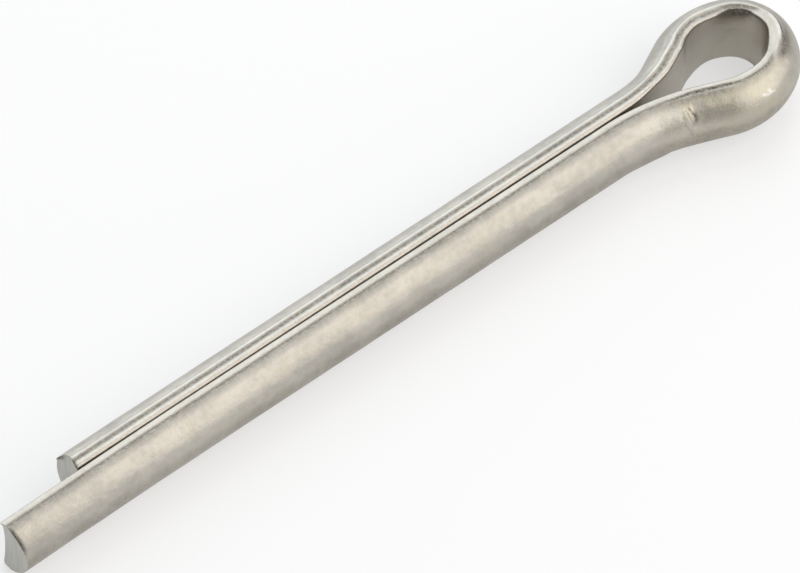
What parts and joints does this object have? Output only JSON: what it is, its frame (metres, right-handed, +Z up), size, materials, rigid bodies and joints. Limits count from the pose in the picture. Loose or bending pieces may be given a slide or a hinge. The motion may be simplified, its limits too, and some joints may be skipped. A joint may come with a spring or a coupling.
{
  "type": "split cotter pin",
  "caption": "Wire pin bent to a round eye, its two half-round legs laid together as a shank that locks through a drilled hole.",
  "frame": {"origin": "on the shank's axis, where the longer leg starts to bend away to form the eye", "axes": "+X along the shank to the eye, leg ends at -X; +Y across the eye towards the shorter leg; +Z up, square to the eye's loop, with the pin lying on its side"},
  "size_m": [0.0611, 0.009, 0.0044],
  "materials": {
    "stainless_wire": "satin, as drawn and tumbled"
  },
  "bodies": {
    "root": {"split_pin": "stainless_wire"}
  },
  "joints": []
}
